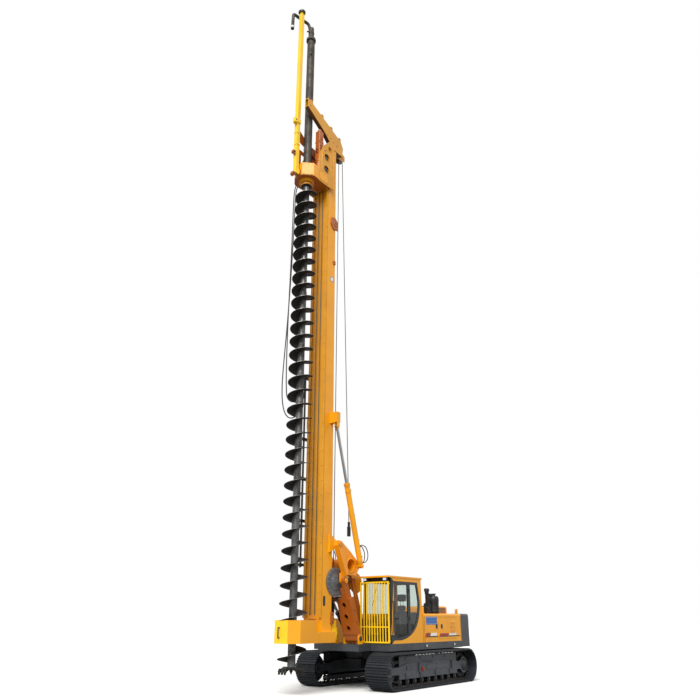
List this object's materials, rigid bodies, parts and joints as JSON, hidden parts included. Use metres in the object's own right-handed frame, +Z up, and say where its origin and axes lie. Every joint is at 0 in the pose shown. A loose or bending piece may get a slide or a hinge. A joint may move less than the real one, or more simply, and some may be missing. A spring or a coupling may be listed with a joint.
{
  "type": "crawler piling rig",
  "caption": "Crawler rig with a leaning mast on a parallel boom linkage, a rotary head on rails and a long hollow screw auger for casting concrete piles.",
  "frame": {"origin": "slewing axis at ground level, midway between the tracks", "axes": "+X is the front of house and tracks, +Y the driver's left, +Z up"},
  "size_m": [9.152, 3.53, 25.4],
  "materials": {
    "yellow_paint": "gloss machine yellow",
    "grey_paint": "satin dark grey",
    "track_steel": "rolled and cast track steel, dull",
    "auger_steel": "black painted steel, worn",
    "rod_chrome": "hard chromed",
    "rope_steel": "greased wire rope",
    "black_rubber": "hose rubber",
    "window_glass": "tinted safety glass",
    "seat_cloth": "woven seat cloth",
    "engine_iron": "cast engine"
  },
  "bodies": {
    "undercarriage": {"track_left": "track_steel", "track_right": "track_steel", "track_frames": "grey_paint", "track_rollers": "grey_paint", "front_idlers": "grey_paint", "drive_sprockets": "grey_paint", "carbody": "grey_paint", "slew_ring": "grey_paint"},
    "house": {"deck_frame": "grey_paint", "counterweight": "grey_paint", "engine_block": "engine_iron", "engine_housing": "yellow_paint", "fuel_and_oil_tanks": "yellow_paint", "cab_shell": "yellow_paint", "cab_roof": "yellow_paint", "cab_glass": "window_glass", "quarter_light_frame": "yellow_paint", "cab_guard": "yellow_paint", "driver_seat": "seat_cloth", "exhaust_stack": "grey_paint"},
    "left_door": {"service_door_left": "yellow_paint"},
    "right_door": {"service_door_right": "yellow_paint"},
    "hood": {"engine_hood": "yellow_paint"},
    "cab_door": {"cab_door": "yellow_paint", "cab_door_glass": "window_glass"},
    "boom": {"boom_arms": "yellow_paint"},
    "triangle": {"triangle_frame": "yellow_paint"},
    "links": {"link_bars": "yellow_paint"},
    "luff_barrels": {"luffing_cylinder_barrels": "yellow_paint"},
    "luff_rods": {"luffing_cylinder_rods": "rod_chrome"},
    "mast_barrels": {"mast_cylinder_barrels": "yellow_paint"},
    "mast_rods": {"mast_cylinder_rods": "rod_chrome"},
    "mast": {"mast_column": "yellow_paint", "mast_rails": "yellow_paint", "guide_frame": "yellow_paint", "crowd_drive": "yellow_paint", "cathead": "yellow_paint", "cathead_sheaves": "auger_steel", "main_winch_frame": "grey_paint", "mast_ropes": "rope_steel", "aux_hook": "auger_steel", "mast_pipes": "black_rubber", "outer_head_hose": "black_rubber", "inner_head_hose": "black_rubber"},
    "main_drum": {"main_winch_drum": "grey_paint"},
    "aux_drum": {"aux_winch_drum": "yellow_paint"},
    "head": {"head_carriage": "yellow_paint", "head_gearbox": "yellow_paint", "head_motors": "yellow_paint", "head_pole": "yellow_paint", "gooseneck": "yellow_paint"},
    "auger": {"auger_drive_tube": "auger_steel", "auger": "auger_steel", "auger_bit": "auger_steel"}
  },
  "joints": [
    {"name": "swing", "type": "hinge", "parent": "undercarriage", "child": "house", "pos_m": [0, 0, 1.05], "axis": [0, 0, 1], "continuous": true},
    {"name": "boom_luff", "type": "hinge", "parent": "house", "child": "boom", "pos_m": [2.55, 0, 1.4], "axis": [0, 1, 0], "range_deg": [-5, 15]},
    {"name": "frame_level", "type": "hinge", "parent": "boom", "child": "triangle", "pos_m": [3.1, 0, 3.01], "axis": [0, 1, 0], "range_deg": [-15.01, 5.01]},
    {"name": "link_swing", "type": "hinge", "parent": "house", "child": "links", "pos_m": [1.83, 0, 1.57], "axis": [0, 1, 0], "range_deg": [-5.01, 15.01]},
    {"name": "luffing_barrel_swing", "type": "hinge", "parent": "house", "child": "luff_barrels", "pos_m": [2, 0, 1.44], "axis": [0, 1, 0], "range_deg": [-3.79, 11.34]},
    {"name": "luffing_rod_slide", "type": "slide", "parent": "luff_barrels", "child": "luff_rods", "axis": [0.6256, 0, 0.7802], "range_m": [-0.0378, 0.1133]},
    {"name": "mast_tilt", "type": "hinge", "parent": "triangle", "child": "mast", "pos_m": [3.395, 0, 4.08], "axis": [0, 1, 0], "range_deg": [-15, 5]},
    {"name": "mast_barrel_swing", "type": "hinge", "parent": "triangle", "child": "mast_barrels", "pos_m": [2.33, 0, 3.48], "axis": [0, 1, 0], "range_deg": [-12.23, 4.08]},
    {"name": "mast_rod_slide", "type": "slide", "parent": "mast_barrels", "child": "mast_rods", "axis": [0.2768, 0, 0.9609], "range_m": [-0.2396, 0.0799]},
    {"name": "head_feed", "type": "slide", "parent": "mast", "child": "head", "axis": [0, 0, 1], "range_m": [-15, 0.1]},
    {"name": "auger_spin", "type": "hinge", "parent": "head", "child": "auger", "pos_m": [4.74, 0, 17], "axis": [0, 0, 1], "continuous": true},
    {"name": "main_winch_spin", "type": "hinge", "parent": "mast", "child": "main_drum", "pos_m": [3.305, 0, 2.97], "axis": [0, 1, 0], "continuous": true},
    {"name": "aux_winch_spin", "type": "hinge", "parent": "triangle", "child": "aux_drum", "pos_m": [2.08, 0, 2.99], "axis": [0, 1, 0], "continuous": true},
    {"name": "cab_door_swing", "type": "hinge", "parent": "house", "child": "cab_door", "pos_m": [0.977, 1.5025, 2.2], "axis": [0, 0, 1], "range_deg": [0, 100]},
    {"name": "left_door_swing", "type": "hinge", "parent": "house", "child": "left_door", "pos_m": [-0.7, 1.5075, 1.66], "axis": [0, 0, -1], "range_deg": [0, 100]},
    {"name": "right_door_swing", "type": "hinge", "parent": "house", "child": "right_door", "pos_m": [-0.7, -1.5075, 1.66], "axis": [0, 0, 1], "range_deg": [0, 100]},
    {"name": "hood_lift", "type": "hinge", "parent": "house", "child": "hood", "pos_m": [-2.16, 0, 2.1125], "axis": [0, -1, 0], "range_deg": [0, 70]}
  ],
  "couplings": [
    {"joint": "frame_level", "follows": "boom_luff", "ratio": -1},
    {"joint": "link_swing", "follows": "boom_luff", "ratio": 1},
    {"joint": "luffing_barrel_swing", "follows": "boom_luff", "ratio": 0.755},
    {"joint": "luffing_rod_slide", "follows": "boom_luff", "m_per_rad": 0.4325},
    {"joint": "mast_barrel_swing", "follows": "mast_tilt", "ratio": 0.815},
    {"joint": "mast_rod_slide", "follows": "mast_tilt", "m_per_rad": 0.915}
  ]
}
